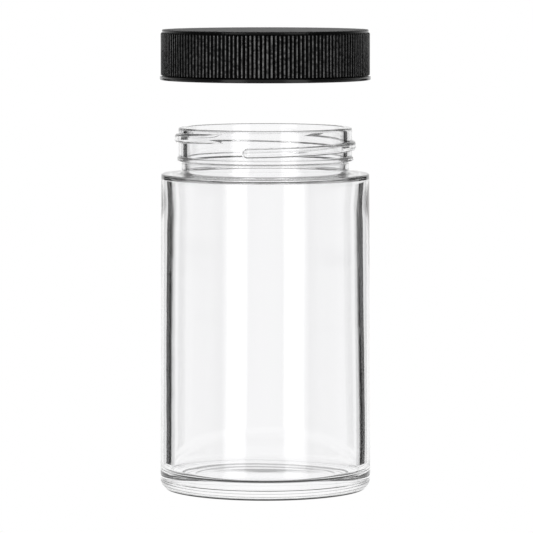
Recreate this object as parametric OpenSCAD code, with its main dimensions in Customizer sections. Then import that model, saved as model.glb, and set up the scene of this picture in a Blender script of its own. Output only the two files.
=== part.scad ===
// Specimen jar: a straight-sided clear glass jar with a flat shoulder and a threaded neck,
// and a black ribbed push-and-turn closure held clear above the neck on the line of its screw.
// Origin: centre of the flat ring the jar stands on. +Z up, front of the jar towards -Y.

/* [Jar body] */
// outside radius of the glass just above the heel, mm
heel_body_r = 30.65; // [20:0.05:50]
// outside radius of the glass just under the shoulder, mm
top_body_r = 30.25; // [20:0.05:50]
// height of the flat shoulder above the table, mm
shoulder_z = 91.8; // [50:0.1:160]
// radius of the round at the outer edge of the shoulder, mm
shoulder_edge_r = 0.4; // [0.3:0.1:4]
// radius of the heel round where the wall meets the base, mm
heel_round_r = 2.6; // [0.5:0.1:6]
// thickness of the side wall just above the floor, mm
wall_low_t = 2.95; // [1.5:0.05:6]
// thickness of the side wall near its top, mm
wall_top_t = 3.45; // [1.5:0.05:6]
// how much wider the inside gets again just under the shoulder, mm
shoulder_flare = 0.5; // [0:0.05:1.5]
// height of that widening, mm
flare_h = 12; // [4:0.5:20]
// thickness of the glass in the shoulder, mm
shoulder_t = 1.2; // [1:0.1:6]
// height of the inside floor above the table, mm
floor_z = 4.8; // [2:0.1:12]
// radius of the inside corner between floor and wall, mm
floor_round_r = 1.8; // [0.5:0.1:8]
// radius of the inside corner under the shoulder, mm
shoulder_inner_round_r = 0.5; // [0.5:0.1:8]
// how far the middle of the underside is raised off the table, mm
push_up_h = 1.3; // [0:0.1:4]
// inner radius of the flat ring the jar stands on, mm
bearing_inner_r = 24.6; // [10:0.1:40]

/* [Jar neck] */
// height of the sealing rim above the table, mm
rim_z = 105.3; // [60:0.1:180]
// radius of the neck wall between the threads, mm
neck_r = 25.2; // [15:0.1:40]
// radius of the neck below the bead, mm
neck_root_r = 24.3; // [15:0.1:40]
// radius of the round where the neck meets the shoulder, mm
neck_fillet_r = 1.2; // [0.2:0.1:3]
// radius of the mouth, mm
bore_r = 22.9; // [10:0.1:38]
// radius of the round on the outer edge of the rim, mm
rim_outer_round_r = 0.7; // [0.2:0.1:1.5]
// radius of the round on the inner edge of the rim, mm
rim_inner_round_r = 0.5; // [0.2:0.1:1.5]
// radius of the round where the mouth opens into the body, mm
mouth_round_r = 0.3; // [0.2:0.1:4]
// height of the middle of the transfer bead, mm
bead_z = 96.15; // [60:0.05:160]
// radius of the crest of the transfer bead, mm
bead_crest_r = 25.6; // [16:0.1:42]
// radius of the round crest of the bead, mm
bead_round_r = 0.6; // [0.3:0.1:2]
// width of the bead at its foot, mm
bead_foot_w = 1.7; // [1:0.1:5]

/* [Screw thread] */
// lead of the single-start thread, mm per turn
thread_pitch = 4.2333; // [2:0.0001:8]
// radius of the crest of the glass thread, mm
thread_crest_r = 26.3; // [16:0.1:42]
// height of the middle of the glass thread at its lower end, mm
thread_start_z = 98.9; // [60:0.05:170]
// direction of the lower end of the glass thread, degrees from +X
thread_start_deg = -101.5; // [-360:0.5:360]
// length of the glass thread, turns
thread_turns = 0.955; // [0.5:0.005:2.5]
// width of the glass thread at its foot, mm
thread_foot_w = 2.7; // [1:0.1:4]
// width of the glass thread at its crest, mm
thread_crest_w = 1.8; // [0.3:0.1:3]
// radius of the crest of the thread inside the inner shell, mm
shell_thread_crest_r = 25.5; // [15:0.1:42]
// direction of the lower end of the thread inside the inner shell when closed, degrees
shell_thread_start_deg = 130; // [-360:1:360]
// length of the thread inside the inner shell, turns
shell_thread_turns = 0.9; // [0.4:0.05:2]
// width of the inner shell's thread at its foot, mm
shell_thread_foot_w = 1.6; // [0.6:0.1:3]
// width of the inner shell's thread at its crest, mm
shell_thread_crest_w = 0.8; // [0.3:0.1:2]
// straight segments in one turn of a thread
thread_steps = 36; // [24:1:96]

/* [Closure] */
// height of the whole closure, mm
cap_h = 14.5; // [10:0.1:40]
// radius of the smooth band round the foot of the closure, mm
foot_band_r = 30.6; // [20:0.05:50]
// height of the smooth band, mm
foot_band_h = 1.05; // [0.5:0.05:4]
// height of the groove between the band and the ribs, mm
groove_h = 0.3; // [0.1:0.05:1]
// radius of the smooth wall above and below the ribs, mm
smooth_wall_r = 29.94; // [20:0.02:50]
// radius of the valleys between the ribs, mm
rib_root_r = 30.02; // [20:0.02:50]
// radius of the crests of the ribs, mm
rib_crest_r = 30.34; // [20:0.02:50]
// number of grip ribs
rib_count = 156; // [24:1:240]
// height of the smooth edge above the ribs, mm
top_band_h = 0.75; // [0.3:0.05:4]
// radius of the round on the top edge, mm
top_round_r = 0.2; // [0.1:0.05:2]
// thickness of the outer shell's top, mm
outer_top_t = 1.15; // [0.6:0.05:3]
// inside radius of the outer shell, mm
outer_bore_r = 28.4; // [20:0.1:48]
// inside radius of the snap bead that holds the inner shell in, mm
snap_bead_r = 27.2; // [20:0.1:48]
// height of the snap bead, mm
snap_bead_h = 1; // [0.4:0.1:3]
// inside radius of the inner shell, mm
inner_bore_r = 26.6; // [18:0.1:46]
// outside radius of the inner shell, mm
inner_skirt_r = 28; // [18:0.1:46]
// thickness of the inner shell's top, mm
inner_top_t = 1; // [0.6:0.1:3]
// how far the outer shell can be pressed down onto the inner shell, mm
push_travel = 1.2; // [0.4:0.1:3]
// number of drive lugs on each shell
lug_count = 16; // [6:1:24]
// height of a drive lug, mm
lug_h = 0.5; // [0.2:0.1:2]
// width of a drive lug, mm
lug_w = 2.4; // [1:0.1:4]
// radius where the drive lugs begin, mm
lug_inner_r = 18; // [8:0.5:24]
// radius where the drive lugs end, mm
lug_outer_r = 24.5; // [12:0.5:26]

/* [Liner] */
// radius of the sealing liner, mm
liner_r = 26.3; // [16:0.1:45]
// thickness of the foam backing, mm
backing_t = 0.8; // [0.3:0.1:3]
// thickness of the facing film, mm
facing_t = 0.2; // [0.1:0.05:1]
// gap between the liner and the parts above and below it when closed, mm
liner_gap = 0.1; // [0.05:0.05:0.5]

/* [Pose] */
// turns the closure is screwed off and raised from closed
hover_turns = 5.45; // [0:0.05:10]
// gap left between the shells at the end of each stroke, mm
end_gap = 0.15; // [0.1:0.05:0.5]
// clear height between the snap bead and the inner shell, mm
snap_gap = 0.3; // [0.1:0.05:1]

/* [Hidden] */
$fn = 96;
// segments in one round of an outline
arc_steps = 6;
// edge of the raised underside: distance in from the bearing ring, and share of the full rise there
push_up_edge = 5;
push_up_share = 0.85;
// half the arc of the bead's crest, degrees
bead_arc_deg = 60;
// bevels of the outer shell's foot, of the inner shell's foot and of the corners under both tops
edge_round = 0.2;
shell_edge_round = 0.3;
top_corner = 1;
inner_top_corner = 1.2;
// sloping stretches of the snap bead, from its foot upwards
snap_lead_in = 0.5;
snap_flank = 0.3;
snap_run_out = 0.4;
// where the flank of a rib bends into its crest, as shares of the rib's pitch and of its height
rib_shoulder_at = 0.27;
rib_shoulder_share = 0.8;
// how deep ribs, lugs and threads are set into the wall they stand on
rib_sink = 0.6;
lug_sink = 0.2;
thread_sink = 0.4;
// blunt end of a thread: its length, and its share of the full section
thread_end_deg = 4;
thread_end_scale = 0.4;
// fading upper end of the glass thread
thread_fade_deg = 22;
thread_fade_scale = 0.15;
inner_low_r = heel_body_r - wall_low_t;
inner_waist_r = top_body_r - wall_top_t;
inner_top_r = inner_waist_r + shoulder_flare;
shoulder_under_z = shoulder_z - shoulder_t;
facing_z = rim_z + liner_gap;
backing_z = facing_z + facing_t;
inner_under_z = backing_z + backing_t + liner_gap;
inner_top_z = inner_under_z + inner_top_t;
outer_under_z = inner_top_z + lug_h + end_gap + push_travel;
cap_top_z = outer_under_z + outer_top_t;
cap_foot_z = cap_top_z - cap_h;
inner_foot_z = cap_foot_z + snap_bead_h + snap_gap;
shell_thread_start_z = thread_start_z - thread_pitch / 2
    + thread_pitch * (shell_thread_start_deg - thread_start_deg) / 360;
rib_foot_z = cap_foot_z + foot_band_h + groove_h;
rib_top_z = cap_top_z - top_band_h;
hover_lift = hover_turns * thread_pitch;

function arc(cx, cz, r, from, to) = [
    for (i = [0 : arc_steps])
        let (a = from + (to - from) * i / arc_steps)
            [cx + r * cos(a), cz + r * sin(a)]
];

// angles of the cross-sections along a thread of the given length
function ridge_angles(length, fade) = concat(
    [0, thread_end_deg],
    [for (a = [360 / thread_steps : 360 / thread_steps : length - fade - 1]) a],
    [length - fade, length]
);

// corners of one cross-section of a thread
function ridge_section(a, z, foot_r, crest_r, foot_w, crest_w) = [
    [foot_r * cos(a), foot_r * sin(a), z - foot_w / 2],
    [crest_r * cos(a), crest_r * sin(a), z - crest_w / 2],
    [crest_r * cos(a), crest_r * sin(a), z + crest_w / 2],
    [foot_r * cos(a), foot_r * sin(a), z + foot_w / 2]
];

// a helical ridge standing out from foot_r to crest_r, blunt at the lower end
module screw_ridge(foot_r, crest_r, foot_w, crest_w, turns, start_deg, start_z, fade, fade_scale) {
    angles = ridge_angles(turns * 360, fade);
    last = len(angles) - 1;
    scale_at = [for (i = [0 : last]) i == 0 ? thread_end_scale : (i == last ? fade_scale : 1)];
    inward = crest_r < foot_r;
    sink_r = inward ? foot_r + thread_sink : foot_r - thread_sink;
    points = [
        for (i = [0 : last])
            each ridge_section(
                start_deg + angles[i],
                start_z + thread_pitch * angles[i] / 360,
                sink_r,
                foot_r + (crest_r - foot_r) * scale_at[i],
                foot_w * scale_at[i],
                crest_w * scale_at[i]
            )
    ];
    sides = [
        for (i = [0 : last - 1])
            for (k = [0 : 3])
                let (p = 4 * i + k, q = 4 * i + (k + 1) % 4)
                    each [[p, q, q + 4], [p, q + 4, p + 4]]
    ];
    ends = [
        [0, 3, 2],
        [0, 2, 1],
        [4 * last, 4 * last + 1, 4 * last + 2],
        [4 * last, 4 * last + 2, 4 * last + 3]
    ];
    faces = concat(sides, ends);
    polyhedron(
        points = points,
        faces = inward ? [for (f = faces) [f[0], f[2], f[1]]] : faces,
        convexity = 6
    );
}

module jar_outline() {
    polygon(concat(
        [
            [0, push_up_h],
            [bearing_inner_r - push_up_edge, push_up_h * push_up_share],
            [bearing_inner_r, 0]
        ],
        arc(heel_body_r - heel_round_r, heel_round_r, heel_round_r, -90, 0),
        arc(top_body_r - shoulder_edge_r, shoulder_z - shoulder_edge_r, shoulder_edge_r, 0, 90),
        arc(neck_root_r + neck_fillet_r, shoulder_z + neck_fillet_r, neck_fillet_r, -90, -180),
        [[neck_root_r, bead_z - bead_foot_w / 2]],
        arc(bead_crest_r - bead_round_r, bead_z, bead_round_r, -bead_arc_deg, bead_arc_deg),
        [[neck_r, bead_z + bead_foot_w / 2]],
        arc(neck_r - rim_outer_round_r, rim_z - rim_outer_round_r, rim_outer_round_r, 0, 90),
        arc(bore_r + rim_inner_round_r, rim_z - rim_inner_round_r, rim_inner_round_r, 90, 180),
        arc(bore_r + mouth_round_r, shoulder_under_z + mouth_round_r, mouth_round_r, 180, 270),
        arc(
            inner_top_r - shoulder_inner_round_r,
            shoulder_under_z - shoulder_inner_round_r,
            shoulder_inner_round_r,
            90,
            0
        ),
        [[inner_waist_r, shoulder_under_z - flare_h]],
        arc(inner_low_r - floor_round_r, floor_z + floor_round_r, floor_round_r, 0, -90),
        [[0, floor_z]]
    ));
}

module glass_jar() {
    color([0.80, 0.90, 0.88, 0.4])
    union() {
        rotate_extrude()
        jar_outline();
        screw_ridge(
            neck_r,
            thread_crest_r,
            thread_foot_w,
            thread_crest_w,
            thread_turns,
            thread_start_deg,
            thread_start_z,
            thread_fade_deg,
            thread_fade_scale
        );
    }
}

// puts a closure part, drawn in its closed place, up on the line of the screw
module raised() {
    translate([0, 0, hover_lift])
    rotate([0, 0, hover_turns * 360])
    children();
}

module outer_cap_outline() {
    polygon(concat(
        [
            [0, outer_under_z],
            [outer_bore_r - top_corner, outer_under_z],
            [outer_bore_r, outer_under_z - top_corner],
            [outer_bore_r, cap_foot_z + snap_bead_h + snap_run_out],
            [snap_bead_r + snap_flank, cap_foot_z + snap_bead_h],
            [snap_bead_r, cap_foot_z + snap_bead_h - snap_flank],
            [snap_bead_r + snap_lead_in, cap_foot_z],
            [foot_band_r - edge_round, cap_foot_z],
            [foot_band_r, cap_foot_z + edge_round],
            [foot_band_r, cap_foot_z + foot_band_h - edge_round],
            [foot_band_r - edge_round, cap_foot_z + foot_band_h],
            [smooth_wall_r, cap_foot_z + foot_band_h]
        ],
        arc(smooth_wall_r - top_round_r, cap_top_z - top_round_r, top_round_r, 0, 90),
        [[0, cap_top_z]]
    ));
}

// a point at radius r and angle a, seen from above
function polar(r, a) = [r * cos(a), r * sin(a)];

// ring of grip ribs seen from above
module rib_ring() {
    step = 360 / rib_count;
    rib_shoulder_r = rib_root_r + rib_shoulder_share * (rib_crest_r - rib_root_r);
    difference() {
        polygon([
            for (i = [0 : rib_count - 1])
                each [
                    polar(rib_root_r, i * step),
                    polar(rib_shoulder_r, (i + rib_shoulder_at) * step),
                    polar(rib_crest_r, (i + 0.5) * step),
                    polar(rib_shoulder_r, (i + 1 - rib_shoulder_at) * step)
                ]
        ]);
        circle(r = outer_bore_r + rib_sink);
    }
}

// ring of drive lugs standing on height z, turned by an angle
module lug_ring(z, turned) {
    for (i = [0 : lug_count - 1])
        rotate([0, 0, turned + i * 360 / lug_count])
        translate([lug_inner_r, -lug_w / 2, z])
        cube([lug_outer_r - lug_inner_r, lug_w, lug_h + lug_sink]);
}

module outer_cap() {
    color([0.06, 0.06, 0.07])
    raised()
    union() {
        rotate_extrude()
        outer_cap_outline();
        translate([0, 0, rib_foot_z])
        linear_extrude(height = rib_top_z - rib_foot_z)
        rib_ring();
        lug_ring(outer_under_z - lug_h, 180 / lug_count);
    }
}

module inner_cap() {
    color([0.14, 0.14, 0.15])
    raised()
    union() {
        rotate_extrude()
        polygon([
            [0, inner_under_z],
            [inner_bore_r, inner_under_z],
            [inner_bore_r, inner_foot_z + shell_edge_round],
            [inner_bore_r + shell_edge_round, inner_foot_z],
            [inner_skirt_r - shell_edge_round, inner_foot_z],
            [inner_skirt_r, inner_foot_z + shell_edge_round],
            [inner_skirt_r, inner_top_z - inner_top_corner],
            [inner_skirt_r - inner_top_corner, inner_top_z],
            [0, inner_top_z]
        ]);
        lug_ring(inner_top_z - lug_sink, 0);
        screw_ridge(
            inner_bore_r,
            shell_thread_crest_r,
            shell_thread_foot_w,
            shell_thread_crest_w,
            shell_thread_turns,
            shell_thread_start_deg,
            shell_thread_start_z,
            thread_end_deg,
            thread_end_scale
        );
    }
}

module liner_backing() {
    color([0.93, 0.93, 0.90])
    raised()
    translate([0, 0, backing_z])
    cylinder(r = liner_r, h = backing_t);
}

module liner_facing() {
    color([0.98, 0.98, 0.98])
    raised()
    translate([0, 0, facing_z])
    cylinder(r = liner_r, h = facing_t);
}

glass_jar();
outer_cap();
inner_cap();
liner_backing();
liner_facing();
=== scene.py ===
"""The looks of the specimen jar: a clear glass jar with a black ribbed closure raised above it."""

import math

import bpy
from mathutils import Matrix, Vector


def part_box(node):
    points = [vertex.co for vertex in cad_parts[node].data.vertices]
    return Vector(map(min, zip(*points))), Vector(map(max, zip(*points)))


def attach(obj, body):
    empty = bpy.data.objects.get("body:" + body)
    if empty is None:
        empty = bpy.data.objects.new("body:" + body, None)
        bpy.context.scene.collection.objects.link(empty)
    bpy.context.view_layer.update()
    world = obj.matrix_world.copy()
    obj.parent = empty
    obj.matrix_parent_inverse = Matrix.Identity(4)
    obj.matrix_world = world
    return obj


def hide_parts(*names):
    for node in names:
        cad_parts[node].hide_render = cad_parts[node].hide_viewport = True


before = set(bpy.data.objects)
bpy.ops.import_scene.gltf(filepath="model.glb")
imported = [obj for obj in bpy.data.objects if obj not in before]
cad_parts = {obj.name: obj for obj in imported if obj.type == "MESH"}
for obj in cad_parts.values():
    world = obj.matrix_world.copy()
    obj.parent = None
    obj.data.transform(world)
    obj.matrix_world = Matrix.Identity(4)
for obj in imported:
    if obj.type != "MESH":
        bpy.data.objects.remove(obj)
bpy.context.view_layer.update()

MM = 0.001
TAU = 2 * math.pi

# ---------------------------------------------------------------- driving sizes, in millimetres
_, jar_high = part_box("glass_jar")
cap_low, cap_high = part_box("outer_cap")
shell_low, shell_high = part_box("inner_cap")
backing_low, backing_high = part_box("liner_backing")
facing_low, facing_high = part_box("liner_facing")

RIM_Z = jar_high[2] / MM
HEEL_BODY_R = jar_high[0] / MM
TOP_BODY_R = HEEL_BODY_R - 0.4
SHOULDER_Z = RIM_Z - 13.5
SHOULDER_EDGE_R = 0.4
SHOULDER_UNDER_Z = SHOULDER_Z - 1.2
HEEL_ROUND_R = 2.6
WALL_LOW_T = 2.95
WALL_TOP_T = 3.45
SHOULDER_FLARE = 0.5
FLARE_H = 12.0
INNER_LOW_R = HEEL_BODY_R - WALL_LOW_T
INNER_TOP_R = TOP_BODY_R - WALL_TOP_T + SHOULDER_FLARE
SEAM_Z = 3.1
SEAM_W = 0.3
SEAM_D = 0.15
FLOOR_Z = 4.8
FLOOR_ROUND_R = 1.8
SHOULDER_INNER_ROUND_R = 0.5
PUSH_UP_H = 1.3
BEARING_INNER_R = 24.6
NECK_R = 25.2
NECK_ROOT_R = 24.3
NECK_FILLET_R = 1.2
BORE_R = 22.9
RIM_OUTER_ROUND_R = 0.7
RIM_INNER_ROUND_R = 0.5
MOUTH_ROUND_R = 0.3
BEAD_Z = RIM_Z - 9.15
BEAD_CREST_R = 25.6
BEAD_HALF_W = 0.85

THREAD_PITCH = 4.2333
THREAD_CREST_R = 26.3
THREAD_START_Z = RIM_Z - 6.4
THREAD_START_DEG = -101.5
THREAD_TURNS = 0.955
THREAD_W = 2.7
THREAD_FADE_DEG = 24.0

CAP_FOOT_Z = cap_low[2] / MM
CAP_TOP_Z = cap_high[2] / MM
FOOT_BAND_R = cap_high[0] / MM
FOOT_BAND_H = 1.05
GROOVE_H = 0.3
GROOVE_R = 29.94
RIB_ROOT_R = 29.99
RIB_CREST_R = 30.34
RIB_COUNT = 156
TOP_BAND_H = 0.75
TOP_ROUND_R = 0.2
OUTER_TOP_T = 1.15
OUTER_BORE_R = 28.4
SNAP_BEAD_R = 27.2
SNAP_BEAD_H = 1.0

SHELL_FOOT_Z = shell_low[2] / MM
SHELL_SKIRT_R = shell_high[0] / MM
SHELL_BORE_R = 26.6
SHELL_TOP_T = 1.0
LUG_COUNT = 16
LUG_H = 0.5
LUG_W = 2.4
LUG_INNER_R = 18.0
LUG_OUTER_R = 24.5
SHELL_TOP_Z = shell_high[2] / MM - LUG_H
SHELL_THREAD_CREST_R = 25.5
SHELL_THREAD_START_DEG = 130.0
SHELL_THREAD_TURNS = 0.9
SHELL_THREAD_W = 1.6
HOVER_TURNS = 5.45
HOVER_DEG = HOVER_TURNS * 360

# Fineness of the meshes: points round a ring, and the height of a row on the threaded neck.
JAR_SEGMENTS = 250
POINTS_PER_RIB = 8
SHELL_SEGMENTS = 480
DISC_SEGMENTS = 192
NECK_ROW_STEP = 0.1
SHARP_ANGLE_DEG = 40


# ---------------------------------------------------------------- outlines
def arc(centre_r, centre_z, radius, start_deg, end_deg, steps):
    """Points of a round stretch of an outline."""
    points = []
    for i in range(steps + 1):
        a = math.radians(start_deg + (end_deg - start_deg) * i / steps)
        points.append((centre_r + radius * math.cos(a), centre_z + radius * math.sin(a)))
    return points


def filled(points, longest):
    """The same outline with points added so that no step is longer than longest."""
    out = [points[0]]
    for (r0, z0), (r1, z1) in zip(points, points[1:]):
        steps = max(1, math.ceil(math.hypot(r1 - r0, z1 - z0) / longest))
        for i in range(1, steps + 1):
            t = i / steps
            out.append((r0 + (r1 - r0) * t, z0 + (z1 - z0) * t))
    return out


def smooth(t):
    """0 below 0, 1 above 1 and a smooth rise between."""
    t = min(1.0, max(0.0, t))
    return t * t * (3 - 2 * t)


# ---------------------------------------------------------------- turned pieces
def band(low, high):
    """Faces between two rings of points; one may be a single point or have twice as many points."""
    faces = []
    count = min(len(low), len(high))
    if count == 1:
        count = max(len(low), len(high))
    for i in range(count):
        j = (i + 1) % count
        if len(low) == 1:
            faces.append((low[0], high[j], high[i]))
        elif len(high) == 1:
            faces.append((low[i], low[j], high[0]))
        elif len(low) == len(high):
            faces.append((low[i], low[j], high[j], high[i]))
        elif len(high) > len(low):
            middle = high[2 * i + 1]
            faces += [
                (low[i], middle, high[2 * i]),
                (low[i], low[j], middle),
                (low[j], high[2 * j], middle),
            ]
        else:
            middle = low[2 * i + 1]
            faces += [
                (low[2 * i], middle, high[i]),
                (middle, high[j], high[i]),
                (middle, low[2 * j], high[j]),
            ]
    return faces


def turned(name, outline, segments, shaped, material, body, node, fine=None):
    """A closed piece turned round Z from an outline that starts and ends on the axis.

    shaped(r, z, angle) gives the surface's radius and height where the plain piece has r and z.
    fine(r, z) is true where a ring has twice as many points.
    """
    verts = []
    rings = []
    for r, z in outline:
        if r < 1e-6:
            rings.append([len(verts)])
            _, z_here = shaped(0.0, z, 0.0)
            verts.append((0.0, 0.0, z_here * MM))
            continue
        count = segments * 2 if fine and fine(r, z) else segments
        ring = []
        for i in range(count):
            angle = TAU * i / count
            r_here, z_here = shaped(r, z, angle)
            ring.append(len(verts))
            x = r_here * math.cos(angle) * MM
            y = r_here * math.sin(angle) * MM
            verts.append((x, y, z_here * MM))
        rings.append(ring)
    faces = []
    for low, high in zip(rings, rings[1:]):
        faces += band(low, high)
    mesh = bpy.data.meshes.new(name)
    mesh.from_pydata(verts, [], faces)
    mesh.validate()
    mesh.polygons.foreach_set("use_smooth", [True] * len(mesh.polygons))
    mesh.update()
    piece = bpy.data.objects.new(name, mesh)
    bpy.context.scene.collection.objects.link(piece)
    mesh.materials.append(material)
    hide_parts(node)
    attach(piece, body)
    return piece


def ridge_height(angle_deg, z, start_deg, start_z, turns, width, fade_deg, radius):
    """How far a screw ridge stands out at an angle and height, from 0 to 1."""
    best = 0.0
    end_deg = start_deg + turns * 360
    turn = math.floor((start_deg - angle_deg) / 360) - 1
    while angle_deg + turn * 360 < end_deg + 30:
        t = angle_deg + turn * 360
        turn += 1
        inside = min(max(t, start_deg), end_deg)
        past = math.radians(t - inside) * radius
        centre = start_z + THREAD_PITCH * (t - start_deg) / 360
        off = math.hypot(z - centre, past)
        fade = smooth((end_deg - t) / fade_deg) if fade_deg else 1.0
        share = off / (width / 2)
        if share < 1:
            fullness = 3.0 if z > centre else 5.0
            rounded = math.sqrt(1 - share**fullness) * smooth((1 - share) / 0.08)
            best = max(best, rounded * fade)
    return best


# ---------------------------------------------------------------- glass jar
def jar_outline():
    outer = [(0, PUSH_UP_H), (BEARING_INNER_R - 5, PUSH_UP_H * 0.85)]
    outer += arc(BEARING_INNER_R, 0.5, 0.5, 180 + 70, 270, 3)
    outer += arc(HEEL_BODY_R - HEEL_ROUND_R, HEEL_ROUND_R, HEEL_ROUND_R, -90, 0, 10)
    outer += [
        (HEEL_BODY_R, SEAM_Z - SEAM_W),
        (HEEL_BODY_R, SEAM_Z - SEAM_W / 2),
        (HEEL_BODY_R - SEAM_D, SEAM_Z),
        (HEEL_BODY_R, SEAM_Z + SEAM_W / 2),
        (HEEL_BODY_R, SEAM_Z + SEAM_W),
        (HEEL_BODY_R, SEAM_Z + 2 * SEAM_W),
    ]
    body = filled(outer, 1.5)
    shoulder = arc(TOP_BODY_R - SHOULDER_EDGE_R, SHOULDER_Z - SHOULDER_EDGE_R, SHOULDER_EDGE_R, 0, 90, 8)
    body += filled([body[-1], shoulder[0]], 3.0)[1:]
    body += shoulder[1:]
    root = arc(NECK_ROOT_R + NECK_FILLET_R, SHOULDER_Z + NECK_FILLET_R, NECK_FILLET_R, -90, -180, 6)
    body += filled([body[-1], root[0]], 0.8)[1:]
    body += root[1:]
    body += filled([body[-1], (NECK_ROOT_R, BEAD_Z - BEAD_HALF_W)], 0.6)[1:]
    bead_rows = 20
    for i in range(1, bead_rows + 1):
        t = i / bead_rows
        z = BEAD_Z - BEAD_HALF_W + 2 * BEAD_HALF_W * t
        foot = NECK_ROOT_R + (NECK_R - NECK_ROOT_R) * smooth(t)
        swell = smooth(t / 0.3) * smooth((1 - t) / 0.3)
        body.append((foot + (BEAD_CREST_R - foot) * swell, z))
    neck_top = RIM_Z - RIM_OUTER_ROUND_R
    body += filled([body[-1], (NECK_R, neck_top)], NECK_ROW_STEP)[1:]
    body += arc(NECK_R - RIM_OUTER_ROUND_R, neck_top, RIM_OUTER_ROUND_R, 0, 90, 7)[1:]
    body += arc(BORE_R + RIM_INNER_ROUND_R, RIM_Z - RIM_INNER_ROUND_R, RIM_INNER_ROUND_R, 90, 180, 6)
    mouth = arc(BORE_R + MOUTH_ROUND_R, SHOULDER_UNDER_Z + MOUTH_ROUND_R, MOUTH_ROUND_R, 180, 270, 7)
    body += filled([body[-1], mouth[0]], 1.0)[1:]
    body += mouth[1:]
    corner = arc(
        INNER_TOP_R - SHOULDER_INNER_ROUND_R,
        SHOULDER_UNDER_Z - SHOULDER_INNER_ROUND_R,
        SHOULDER_INNER_ROUND_R,
        90,
        0,
        8,
    )
    body += filled([body[-1], corner[0]], 0.8)[1:]
    body += corner[1:]
    heel = arc(INNER_LOW_R - FLOOR_ROUND_R, FLOOR_Z + FLOOR_ROUND_R, FLOOR_ROUND_R, 0, -90, 9)
    waist = (INNER_TOP_R - SHOULDER_FLARE, SHOULDER_UNDER_Z - FLARE_H)
    wall = [body[-1]]
    for i in range(1, 9):
        t = i / 8
        z = body[-1][1] + (waist[1] - body[-1][1]) * t
        wall.append((INNER_TOP_R - SHOULDER_FLARE * smooth(t), z))
    body += wall[1:]
    body += filled([waist, heel[0]], 1.6)[1:]
    body += heel[1:]
    body += filled([body[-1], (0, FLOOR_Z)], 2.5)[1:]
    return body


def inner_wave(angle, z):
    """Unevenness of the blown inner surface, in millimetres."""
    return (
        0.05 * math.sin(2 * angle + 0.02 * z + 0.6)
        + 0.03 * math.sin(3 * angle - 0.06 * z + 2.1)
        + 0.025 * math.sin(0.31 * z + 1.3 + math.sin(angle))
        + 0.008 * math.sin(0.62 * z + 2 * angle)
    )


def on_neck(r, z):
    return BEAD_Z < z < RIM_Z - 0.6 and r >= NECK_R - 0.05


def jar_shape(r, z, angle):
    if on_neck(r, z):
        rise = ridge_height(
            math.degrees(angle),
            z,
            THREAD_START_DEG,
            THREAD_START_Z,
            THREAD_TURNS,
            THREAD_W,
            THREAD_FADE_DEG,
            THREAD_CREST_R,
        )
        return max(r, NECK_R + (THREAD_CREST_R - NECK_R) * rise), z
    inside_body = FLOOR_Z - 0.01 <= z <= SHOULDER_UNDER_Z and r <= INNER_LOW_R + 0.01
    if inside_body and z > FLOOR_Z + FLOOR_ROUND_R:
        grow = smooth((z - FLOOR_Z - FLOOR_ROUND_R) / 8) * smooth((SHOULDER_UNDER_Z - z) / 4)
        return r + inner_wave(angle, z) * grow, z
    return r, z


# ---------------------------------------------------------------- closure
def outer_cap_outline():
    under_z = CAP_TOP_Z - OUTER_TOP_T
    side = [(0, CAP_TOP_Z), (10, CAP_TOP_Z), (24, CAP_TOP_Z)]
    side = filled(side, 4.0)
    side += arc(GROOVE_R - TOP_ROUND_R, CAP_TOP_Z - TOP_ROUND_R, TOP_ROUND_R, 90, 0, 6)
    rib_top = CAP_TOP_Z - TOP_BAND_H
    rib_foot = CAP_FOOT_Z + FOOT_BAND_H + GROOVE_H
    for i in range(6):
        side.append((RIB_ROOT_R, rib_top - 0.5 * i / 5))
    side += [(RIB_ROOT_R, (rib_top + rib_foot) / 2)]
    for i in range(4):
        side.append((RIB_ROOT_R, rib_foot + 0.2 - 0.2 * i / 3))
    side += [(GROOVE_R, rib_foot - 0.04), (GROOVE_R, CAP_FOOT_Z + FOOT_BAND_H + 0.02)]
    side += arc(FOOT_BAND_R - 0.18, CAP_FOOT_Z + FOOT_BAND_H - 0.18, 0.18, 90, 0, 4)
    side += arc(FOOT_BAND_R - 0.22, CAP_FOOT_Z + 0.22, 0.22, 0, -90, 4)
    side += [(SNAP_BEAD_R + 0.55, CAP_FOOT_Z)]
    side += arc(SNAP_BEAD_R + 0.4, CAP_FOOT_Z + 0.55, 0.4, 220, 120, 5)
    side += [
        (OUTER_BORE_R - 0.25, CAP_FOOT_Z + SNAP_BEAD_H + 0.15),
        (OUTER_BORE_R, CAP_FOOT_Z + SNAP_BEAD_H + 0.4),
        (OUTER_BORE_R, under_z - 1),
    ]
    side += arc(OUTER_BORE_R - 1, under_z - 1, 1, 0, 90, 4)[1:]
    side += [
        (LUG_OUTER_R + 0.12, under_z),
        (LUG_OUTER_R, under_z),
        (LUG_INNER_R, under_z),
        (LUG_INNER_R - 0.12, under_z),
        (0, under_z),
    ]
    side.reverse()
    return side


def rib_height(angle):
    """Rounded crest and narrow valley of the grip ribs, from 0 to 1."""
    phase = (math.degrees(angle) * RIB_COUNT / 360) % 1.0
    return math.sin(math.pi * phase) if 0 < phase < 1 else 0.0


def lug_height(angle, turned_deg):
    """1 on a drive lug and 0 between the lugs, with a narrow flank."""
    pitch = 360 / LUG_COUNT
    off = (math.degrees(angle) - turned_deg + pitch / 2) % pitch - pitch / 2
    half_deg = math.degrees(LUG_W / 2 / ((LUG_INNER_R + LUG_OUTER_R) / 2))
    return smooth((half_deg + 0.3 - abs(off)) / 0.6)


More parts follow.
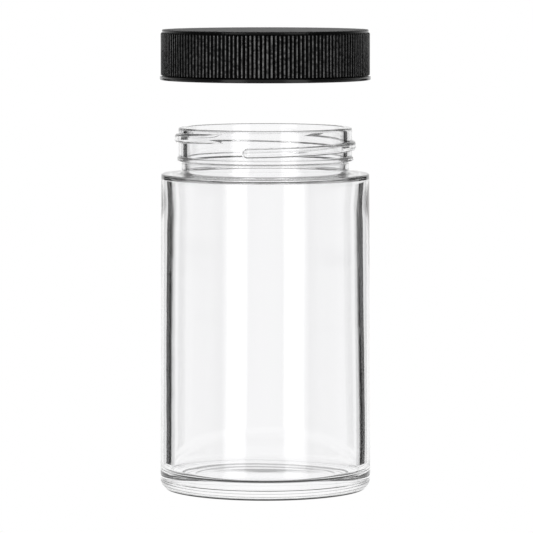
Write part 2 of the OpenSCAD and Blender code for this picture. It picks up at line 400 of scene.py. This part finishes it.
def outer_cap_shape(r, z, angle):
    rib_top = CAP_TOP_Z - TOP_BAND_H
    rib_foot = CAP_FOOT_Z + FOOT_BAND_H + GROOVE_H
    if abs(r - RIB_ROOT_R) < 1e-6 and rib_foot - 1e-6 <= z <= rib_top + 1e-6:
        ends = math.sqrt(smooth((rib_top - z) / 0.5)) * smooth((z - rib_foot) / 0.15 + 0.15)
        crest = rib_height(angle) * ends
        return GROOVE_R + (RIB_ROOT_R - GROOVE_R) * ends + (RIB_CREST_R - RIB_ROOT_R) * crest, z
    under_z = CAP_TOP_Z - OUTER_TOP_T
    if abs(z - under_z) < 1e-6 and LUG_INNER_R - 1e-6 <= r <= LUG_OUTER_R + 1e-6:
        return r, z - LUG_H * lug_height(angle, HOVER_DEG + 180 / LUG_COUNT)
    return r, z


def inner_cap_outline():
    under_z = SHELL_TOP_Z - SHELL_TOP_T
    side = [
        (0, SHELL_TOP_Z),
        (LUG_INNER_R - 0.12, SHELL_TOP_Z),
        (LUG_INNER_R, SHELL_TOP_Z),
        (LUG_OUTER_R, SHELL_TOP_Z),
        (LUG_OUTER_R + 0.12, SHELL_TOP_Z),
    ]
    side += arc(SHELL_SKIRT_R - 1.2, SHELL_TOP_Z - 1.2, 1.2, 90, 0, 5)
    side += arc(SHELL_SKIRT_R - 0.3, SHELL_FOOT_Z + 0.3, 0.3, 0, -90, 3)
    side += arc(SHELL_BORE_R + 0.3, SHELL_FOOT_Z + 0.3, 0.3, -90, -180, 3)
    side += filled([side[-1], (SHELL_BORE_R, under_z - 1.2)], 0.13)[1:]
    side += [(SHELL_BORE_R, under_z - 0.3), (SHELL_BORE_R - 0.3, under_z), (0, under_z)]
    side.reverse()
    return side


def inner_cap_shape(r, z, angle):
    if abs(z - SHELL_TOP_Z) < 1e-6 and LUG_INNER_R - 1e-6 <= r <= LUG_OUTER_R + 1e-6:
        return r, z + LUG_H * lug_height(angle, HOVER_DEG)
    if abs(r - SHELL_BORE_R) < 1e-6:
        start_z = (
            THREAD_START_Z
            - THREAD_PITCH / 2
            + THREAD_PITCH * (SHELL_THREAD_START_DEG - THREAD_START_DEG) / 360
            + THREAD_PITCH * HOVER_TURNS
        )
        rise = ridge_height(
            math.degrees(angle) - HOVER_DEG,
            z,
            SHELL_THREAD_START_DEG,
            start_z,
            SHELL_THREAD_TURNS,
            SHELL_THREAD_W,
            0,
            SHELL_BORE_R,
        )
        return r - (SHELL_BORE_R - SHELL_THREAD_CREST_R) * rise, z
    return r, z


def disc_outline(low, high):
    bottom, top, radius = low[2] / MM, high[2] / MM, high[0] / MM
    edge = min(0.06, (top - bottom) / 4)
    points = [(0, bottom)]
    points += arc(radius - edge, bottom + edge, edge, -90, 0, 3)
    points += arc(radius - edge, top - edge, edge, 0, 90, 3)
    return points + [(0, top)]


def plain(r, z, angle):
    return r, z


# ---------------------------------------------------------------- materials
class Graph:
    """A small helper that makes and links shader nodes in a node tree."""

    def __init__(self, tree):
        self.tree = tree

    def add(self, kind, values=None, **settings):
        made = self.tree.nodes.new(kind)
        for key, value in settings.items():
            setattr(made, key, value)
        for key, value in (values or {}).items():
            made.inputs[key].default_value = value
        return made

    def link(self, source, target):
        self.tree.links.new(source, target)

    def maths(self, operation, first, second=None):
        """One maths operation on one or two values, each a number or the output of a node."""
        made = self.add("ShaderNodeMath", operation=operation)
        for socket, value in zip(made.inputs, (first, second)):
            if isinstance(value, (int, float)):
                socket.default_value = value
            elif value is not None:
                self.link(value, socket)
        return made.outputs[0]

    def ranged(self, value, low, high, out_low, out_high):
        made = self.add(
            "ShaderNodeMapRange",
            {"From Min": low, "From Max": high, "To Min": out_low, "To Max": out_high},
        )
        self.link(value, made.inputs["Value"])
        return made.outputs["Result"]

    def ramp(self, value, stops):
        """A grey ramp over stops of (position, level), both from 0 to 1."""
        made = self.add("ShaderNodeValToRGB")
        marks = made.color_ramp.elements
        while len(marks) < len(stops):
            marks.new(0.5)
        for mark, (at, level) in zip(marks, stops):
            mark.position = at
            mark.color = (level, level, level, 1)
        self.link(value, made.inputs["Fac"])
        return made.outputs["Color"]


class Surface(Graph):
    """The graph of a new material for a piece."""

    def __init__(self, name):
        self.material = bpy.data.materials.new(name)
        self.material.use_nodes = True
        super().__init__(self.material.node_tree)
        self.shader = self.tree.nodes["Principled BSDF"]

    def noise(self, scale, detail=3.0, roughness=0.5, stretch=(1, 1, 1)):
        """A noise in the piece's own space, stretched along the axes."""
        place = self.add("ShaderNodeTexCoord")
        mapping = self.add("ShaderNodeMapping", {"Scale": stretch})
        made = self.add("ShaderNodeTexNoise", {"Scale": scale, "Detail": detail, "Roughness": roughness})
        self.link(place.outputs["Object"], mapping.inputs["Vector"])
        self.link(mapping.outputs["Vector"], made.inputs["Vector"])
        return made.outputs["Fac"]

    def bump(self, height, distance, strength):
        made = self.add("ShaderNodeBump", {"Strength": strength, "Distance": distance})
        self.link(height, made.inputs["Height"])
        return made.outputs["Normal"]

    def blend_colour(self, factor, first, second):
        """The base colour, from first to second as the factor goes from 0 to 1."""
        mix = self.add("ShaderNodeMix", data_type="RGBA")
        mix.inputs["A"].default_value = (*first, 1)
        mix.inputs["B"].default_value = (*second, 1)
        self.link(factor, mix.inputs["Factor"])
        self.link(mix.outputs["Result"], self.shader.inputs["Base Color"])


def clear_glass():
    n = Surface("clear_glass")
    shader = n.shader
    shader.inputs["Base Color"].default_value = (0.99, 0.99, 0.994, 1)
    shader.inputs["Transmission Weight"].default_value = 1.0
    shader.inputs["IOR"].default_value = 1.50
    smudge = n.noise(55, detail=4, roughness=0.6)
    n.link(n.ranged(smudge, 0.5, 0.8, 0.0, 0.01), shader.inputs["Roughness"])
    ripple = n.noise(60, detail=1.5, stretch=(1, 1, 0.5))
    n.link(n.bump(ripple, 0.0001, 0.2), shader.inputs["Normal"])
    return n.material


# The closure's top is matte, its rib crests are glossy and the valleys between them nearly dull.
MATTE_FROM_Z = CAP_TOP_Z - 0.25
MATTE_TO_Z = CAP_TOP_Z - 0.15
MATTE_ROUGHNESS = 0.29
EDGE_BAND_FROM_Z = CAP_TOP_Z - 0.75
EDGE_BAND_TO_Z = CAP_TOP_Z - 0.65
EDGE_BAND_SHARE = 0.5
GLOSS_FROM_R = 30.25
GLOSS_TO_R = 30.338
VALLEY_GLOSS = 0.02
CREST_GLOSS = 1.3
FOOT_FROM_R = RIB_CREST_R + 0.05
FOOT_TO_R = RIB_CREST_R + 0.1


def ribbed_gloss(n, place, height, smooth_gloss):
    """Gloss by the distance from the axis on the ribs, and smooth_gloss on the top, edge and foot."""
    across = n.add("ShaderNodeVectorMath", operation="MULTIPLY")
    across.inputs[1].default_value = (1, 1, 0)
    n.link(place, across.inputs[0])
    length = n.add("ShaderNodeVectorMath", operation="LENGTH")
    n.link(across.outputs["Vector"], length.inputs[0])
    radius = length.outputs["Value"]
    crest = n.ranged(radius, GLOSS_FROM_R * MM, GLOSS_TO_R * MM, VALLEY_GLOSS, CREST_GLOSS)
    patches = n.ranged(n.noise(1100, detail=3, roughness=0.6), 0.38, 0.62, 0.35, 1.9)
    foot = n.ranged(radius, FOOT_FROM_R * MM, FOOT_TO_R * MM, 0, 1)
    top = n.ranged(height, MATTE_FROM_Z * MM, MATTE_TO_Z * MM, 0, 1)
    edge = n.ranged(height, EDGE_BAND_FROM_Z * MM, EDGE_BAND_TO_Z * MM, 0, EDGE_BAND_SHARE)
    level = n.add("ShaderNodeMix", {"B": smooth_gloss}, data_type="FLOAT")
    n.link(n.maths("MAXIMUM", foot, n.maths("MAXIMUM", top, edge)), level.inputs["Factor"])
    n.link(n.maths("MULTIPLY", crest, patches), level.inputs["A"])
    n.link(level.outputs["Result"], n.shader.inputs["Specular IOR Level"])


def black_shell(name, base, rough_low, rough_high, gloss, ribbed=False):
    """Black plastic with a fine grain; a ribbed shell has a matte top and glossy rib crests."""
    n = Surface(name)
    shader = n.shader
    shader.inputs["IOR"].default_value = 1.49
    shader.inputs["Specular IOR Level"].default_value = gloss
    tone = n.ranged(n.noise(120, detail=4), 0.4, 0.75, 0, 1)
    n.blend_colour(tone, (base, base, base * 1.05), (base * 2.1, base * 2.1, base * 2.2))
    rough = n.ranged(n.noise(400, detail=5, roughness=0.65), 0.3, 0.7, rough_low, rough_high)
    if ribbed:
        place = n.add("ShaderNodeTexCoord").outputs["Object"]
        split = n.add("ShaderNodeSeparateXYZ")
        n.link(place, split.inputs[0])
        height = split.outputs["Z"]
        matte = n.ranged(height, MATTE_FROM_Z * MM, MATTE_TO_Z * MM, 0, MATTE_ROUGHNESS)
        rough = n.maths("ADD", rough, matte)
        ribbed_gloss(n, place, height, gloss)
    n.link(rough, shader.inputs["Roughness"])
    grain = n.noise(2600, detail=3, roughness=0.6)
    n.link(n.bump(grain, 0.00003, 0.4), shader.inputs["Normal"])
    return n.material


def liner_foam():
    n = Surface("liner_foam")
    shader = n.shader
    shader.inputs["Roughness"].default_value = 0.85
    cells = n.add("ShaderNodeTexVoronoi", {"Scale": 2600})
    place = n.add("ShaderNodeTexCoord")
    n.link(place.outputs["Object"], cells.inputs["Vector"])
    tone = n.ranged(cells.outputs["Distance"], 0, 0.6, 0, 1)
    n.blend_colour(tone, (0.80, 0.80, 0.77), (0.90, 0.90, 0.88))
    n.link(n.bump(cells.outputs["Distance"], 0.00006, 0.6), shader.inputs["Normal"])
    return n.material


def liner_film():
    n = Surface("liner_film")
    shader = n.shader
    shader.inputs["IOR"].default_value = 1.5
    tone = n.ranged(n.noise(90, detail=3), 0.35, 0.7, 0, 1)
    n.blend_colour(tone, (0.84, 0.84, 0.82), (0.90, 0.90, 0.89))
    n.link(n.ranged(n.noise(300, detail=4), 0.3, 0.7, 0.28, 0.45), shader.inputs["Roughness"])
    n.link(n.bump(n.noise(700, detail=3), 0.00005, 0.4), shader.inputs["Normal"])
    return n.material


# ---------------------------------------------------------------- the stage
CAMERA_DISTANCE = 1.150
CAMERA_HEIGHT = 0.160
CAMERA_SIDE = 0.00035
CAMERA_PITCH_DEG = 4.739
CAMERA_LENS = 267.6


def add_camera():
    data = bpy.data.cameras.new("camera")
    data.lens = CAMERA_LENS
    data.sensor_width = 36
    camera = bpy.data.objects.new("camera", data)
    camera.location = (CAMERA_SIDE, -CAMERA_DISTANCE, CAMERA_HEIGHT)
    camera.rotation_euler = (math.radians(90 - CAMERA_PITCH_DEG), 0, 0)
    bpy.context.scene.collection.objects.link(camera)
    bpy.context.scene.camera = camera


TABLE_R = 75.0
TABLE_SEGMENTS = 96
# Painted shadow of the heel on the table by distance from the axis, on the front half only.
CONTACT = [(0, 0), (22.0, 0), (23.0, 0.95), (28.9, 0.95), (29.3, 0), (75.0, 0)]
CONTACT_FRONT_Y = -10.0


def add_floor():
    """A white table top, lit from within so that it stays even, with a painted shadow of the heel on its
    front half.
    """
    rim = []
    for i in range(TABLE_SEGMENTS):
        angle = TAU * i / TABLE_SEGMENTS
        rim.append((TABLE_R * MM * math.cos(angle), TABLE_R * MM * math.sin(angle), 0))
    mesh = bpy.data.meshes.new("floor")
    mesh.from_pydata(rim, [], [tuple(range(TABLE_SEGMENTS))])
    floor = bpy.data.objects.new("floor", mesh)
    bpy.context.scene.collection.objects.link(floor)
    n = Surface("floor_white")
    shader = n.shader
    shader.inputs["Base Color"].default_value = (0.0, 0.0, 0.0, 1)
    shader.inputs["Specular IOR Level"].default_value = 0
    shader.inputs["Emission Color"].default_value = (1, 1, 1, 1)
    place = n.add("ShaderNodeTexCoord").outputs["Object"]
    length = n.add("ShaderNodeVectorMath", operation="LENGTH")
    n.link(place, length.inputs[0])
    reach = n.maths("DIVIDE", length.outputs["Value"], TABLE_R * MM)
    # Painted shadow of the heel: the table's glow is dimmed in a ring under the heel, on the front half
    # only.
    ring = n.ramp(reach, [(radius / TABLE_R, level) for radius, level in CONTACT])
    split = n.add("ShaderNodeSeparateXYZ")
    n.link(place, split.inputs[0])
    front = n.ranged(split.outputs["Y"], CONTACT_FRONT_Y * MM, 0, 1, 0)
    shade = n.maths("MULTIPLY", ring, front)
    n.link(n.maths("SUBTRACT", 1, shade), shader.inputs["Emission Strength"])
    # The table is clear from below, so that the underside of the jar can be seen.
    side = n.add("ShaderNodeNewGeometry")
    seen = n.add("ShaderNodeLightPath")
    clear = n.add("ShaderNodeBsdfTransparent")
    mix = n.add("ShaderNodeMixShader")
    below = n.maths("MULTIPLY", side.outputs["Backfacing"], seen.outputs["Is Camera Ray"])
    n.link(below, mix.inputs["Fac"])
    n.link(shader.outputs[0], mix.inputs[1])
    n.link(clear.outputs[0], mix.inputs[2])
    n.link(mix.outputs[0], n.tree.nodes["Material Output"].inputs["Surface"])
    mesh.materials.append(n.material)


# Brightness of the studio by angle from the direction behind the jar, in degrees.
STUDIO = [
    (0, 1.0),
    (6, 0.99),
    (18, 0.97),
    (50, 0.97),
    (60, 0.85),
    (120, 0.4),
    (131, 0.2),
    (134, 1.7),
    (156, 1.7),
    (159, 0.6),
    (180, 0.6),
]
# The same from a little below the horizon upwards, between these heights, which the closure mirrors.
STUDIO_HIGH = [
    (0, 1.0),
    (6, 0.99),
    (18, 0.97),
    (50, 0.97),
    (60, 0.6),
    (85, 0.15),
    (131, 0.15),
    (134, 1.7),
    (156, 1.7),
    (159, 0.6),
    (180, 0.6),
]
HIGH_FROM_DEG = -3.2
HIGH_TO_DEG = -1.8
# Dark strips of ground on both sides of the white table, by the same angle and below this height.
DARK_FROM_DEG = 29.5
DARK_TO_DEG = 53.0
DARK_TOP_DEG = -1.2
DARK_EDGE_DEG = 0.3
DARK_LEVEL = 0.03
# The light fades towards the ceiling behind the jar, and stays full above its sides.
CEILING_FROM_DEG = 15.0
CEILING_TO_DEG = 24.0
CEILING_LEVEL = 0.06
CEILING_SIDE_FROM_DEG = 30.0
CEILING_SIDE_TO_DEG = 40.0
# The ground further down is dark.
GROUND_FROM_DEG = -24.0
GROUND_TO_DEG = -40.0
GROUND_LEVEL = 0.05


SOFT_EDGE_DEG = 0.5


def add_studio():
    """A white sweep behind, dark ground beside it and two tall soft boxes in front."""
    world = bpy.data.worlds.new("studio")
    world.use_nodes = True
    bpy.context.scene.world = world
    sky = Graph(world.node_tree)
    sky.tree.nodes.clear()
    place = sky.add("ShaderNodeTexCoord")
    split = sky.add("ShaderNodeSeparateXYZ")
    sky.link(place.outputs["Generated"], split.inputs[0])
    turn = sky.maths("ARCTAN2", sky.maths("ABSOLUTE", split.outputs["X"]), split.outputs["Y"])
    degrees = sky.maths("MULTIPLY", turn, 180 / math.pi)
    height = sky.maths("MULTIPLY", sky.maths("ARCSINE", split.outputs["Z"]), 180 / math.pi)

    top = max(level for _, level in STUDIO + STUDIO_HIGH)
    share = sky.maths("DIVIDE", degrees, 180)
    light = sky.add("ShaderNodeMix", data_type="RGBA")
    sky.link(sky.ranged(height, HIGH_FROM_DEG, HIGH_TO_DEG, 0, 1), light.inputs["Factor"])
    for socket, stops in (("A", STUDIO), ("B", STUDIO_HIGH)):
        ramp = sky.ramp(share, [(at / 180, level / top) for at, level in stops])
        sky.link(ramp, light.inputs[socket])

    beside = sky.maths(
        "MULTIPLY",
        sky.ranged(degrees, DARK_FROM_DEG - SOFT_EDGE_DEG, DARK_FROM_DEG + SOFT_EDGE_DEG, 0, 1),
        sky.ranged(degrees, DARK_TO_DEG - SOFT_EDGE_DEG, DARK_TO_DEG + SOFT_EDGE_DEG, 1, 0),
    )
    low = sky.ranged(height, DARK_TOP_DEG - DARK_EDGE_DEG, DARK_TOP_DEG + DARK_EDGE_DEG, 1, 0)
    dark = sky.maths("MULTIPLY", beside, low)
    lit = sky.maths("SUBTRACT", 1, sky.maths("MULTIPLY", dark, 1 - DARK_LEVEL))
    beside_ceiling = sky.ranged(degrees, CEILING_SIDE_FROM_DEG, CEILING_SIDE_TO_DEG, 0, 1)
    above = sky.ranged(height, CEILING_FROM_DEG, CEILING_TO_DEG, 1, CEILING_LEVEL)
    ceiling = sky.maths("MAXIMUM", above, beside_ceiling)
    ground = sky.ranged(height, GROUND_TO_DEG, GROUND_FROM_DEG, GROUND_LEVEL, 1)
    shading = sky.maths("MULTIPLY", lit, sky.maths("MULTIPLY", ceiling, ground))

    studio = sky.add("ShaderNodeBackground")
    sky.link(light.outputs["Result"], studio.inputs["Color"])
    sky.link(sky.maths("MULTIPLY", shading, top), studio.inputs["Strength"])
    white = sky.add("ShaderNodeBackground", {"Color": (1, 1, 1, 1)})
    seen = sky.add("ShaderNodeLightPath")
    mix = sky.add("ShaderNodeMixShader")
    sky.link(seen.outputs["Is Camera Ray"], mix.inputs["Fac"])
    sky.link(studio.outputs[0], mix.inputs[1])
    sky.link(white.outputs[0], mix.inputs[2])
    out = sky.add("ShaderNodeOutputWorld")
    sky.link(mix.outputs[0], out.inputs["Surface"])


def set_colours():
    view = bpy.context.scene.view_settings
    view.view_transform = "Standard"
    view.look = "None"
    view.exposure = 0
    view.gamma = 1


# ---------------------------------------------------------------- putting it together
add_camera()
add_studio()
add_floor()
set_colours()

glass = clear_glass()
shell_black = black_shell("black_shell", 0.0015, 0.11, 0.19, 0.35, ribbed=True)
inner_black = black_shell("inner_shell_black", 0.009, 0.28, 0.40, 0.5)

turned(
    "jar_glass",
    jar_outline(),
    JAR_SEGMENTS,
    jar_shape,
    glass,
    "jar",
    "glass_jar",
    fine=on_neck,
)
cap_piece = turned(
    "closure_outer_shell",
    outer_cap_outline(),
    RIB_COUNT * POINTS_PER_RIB,
    outer_cap_shape,
    shell_black,
    "outer_shell",
    "outer_cap",
)
shell_piece = turned(
    "closure_inner_shell",
    inner_cap_outline(),
    SHELL_SEGMENTS,
    inner_cap_shape,
    inner_black,
    "inner_shell",
    "inner_cap",
)
backing_piece = turned(
    "liner_foam_backing",
    disc_outline(backing_low, backing_high),
    DISC_SEGMENTS,
    plain,
    liner_foam(),
    "liner",
    "liner_backing",
)
facing_piece = turned(
    "liner_film_facing",
    disc_outline(facing_low, facing_high),
    DISC_SEGMENTS,
    plain,
    liner_film(),
    "liner",
    "liner_facing",
)
for piece in (cap_piece, shell_piece, backing_piece, facing_piece):
    piece.data.set_sharp_from_angle(angle=math.radians(SHARP_ANGLE_DEG))
